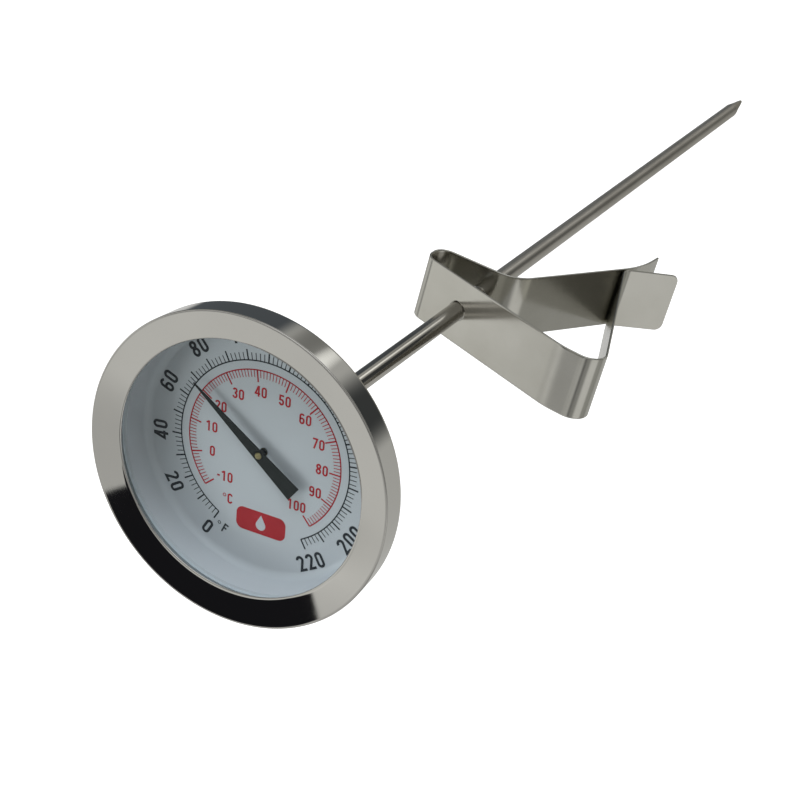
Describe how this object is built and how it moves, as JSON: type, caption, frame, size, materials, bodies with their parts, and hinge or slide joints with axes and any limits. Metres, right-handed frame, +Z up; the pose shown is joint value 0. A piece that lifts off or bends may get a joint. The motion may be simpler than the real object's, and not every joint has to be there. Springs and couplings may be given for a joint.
{
  "type": "dial thermometer",
  "caption": "Bimetal dial thermometer with a round head, a long pointed stem and a spring clip that hangs it on the rim of a vessel.",
  "frame": {"origin": "the pinch of the clip, where it grips the vessel wall", "axes": "+Z up along the stem towards the dial, +X out of the vessel through its wall, +Y along the width of the clip"},
  "size_m": [0.0689, 0.0626, 0.3223],
  "materials": {
    "polished_steel": "polished stainless steel",
    "satin_steel": "ground and lightly polished stainless steel",
    "clip_steel": "rolled stainless spring strip, satin",
    "drawn_steel": "drawn stainless sheet",
    "clear_lens": "clear flat lens",
    "white_silicone": "matt white silicone",
    "dial_enamel": "satin white enamel with black and red printing",
    "pointer_black": "satin black",
    "black_rubber": "matt nitrile",
    "brass": "turned brass",
    "bimetal": "rolled bimetal strip"
  },
  "bodies": {
    "clip": {"clip_band": "clip_steel"},
    "outer_jaw": {"clip_jaw": "clip_steel"},
    "stem": {"stem_tube": "satin_steel", "stem_tip": "satin_steel", "gland_bushing": "brass", "spring_washer": "drawn_steel", "o_ring": "black_rubber", "calibration_nut": "satin_steel", "upper_bush": "brass", "middle_bush": "brass", "lower_bush": "brass", "bimetal_helix": "bimetal", "helix_anchor": "brass"},
    "head": {"case_cup": "drawn_steel", "dial_dish": "dial_enamel", "lens_gasket": "white_silicone", "lens": "clear_lens", "bezel_ring": "polished_steel"},
    "indicator": {"spindle": "drawn_steel", "helix_ferrule": "brass", "pointer_hub": "pointer_black", "pointer": "pointer_black", "pointer_pin": "brass"}
  },
  "joints": [
    {"name": "stem_slide", "type": "slide", "parent": "clip", "child": "stem", "axis": [0, 0, 1], "range_m": [-0.06, 0.195]},
    {"name": "jaw_open", "type": "hinge", "parent": "clip", "child": "outer_jaw", "pos_m": [0.00859, 0, 0.04739], "axis": [0, -1, 0], "range_deg": [0, 10], "stiffness_Nm_per_rad": 0.3, "springref_deg": -5.73},
    {"name": "head_turn", "type": "hinge", "parent": "stem", "child": "head", "pos_m": [-0.0246, 0, 0.1266], "axis": [0, 0, 1], "continuous": true},
    {"name": "pointer_swing", "type": "hinge", "parent": "stem", "child": "indicator", "pos_m": [-0.0246, 0, 0.1266], "axis": [0, 0, -1], "range_deg": [-96.1, 203.9], "stiffness_Nm_per_rad": 0.0001}
  ]
}
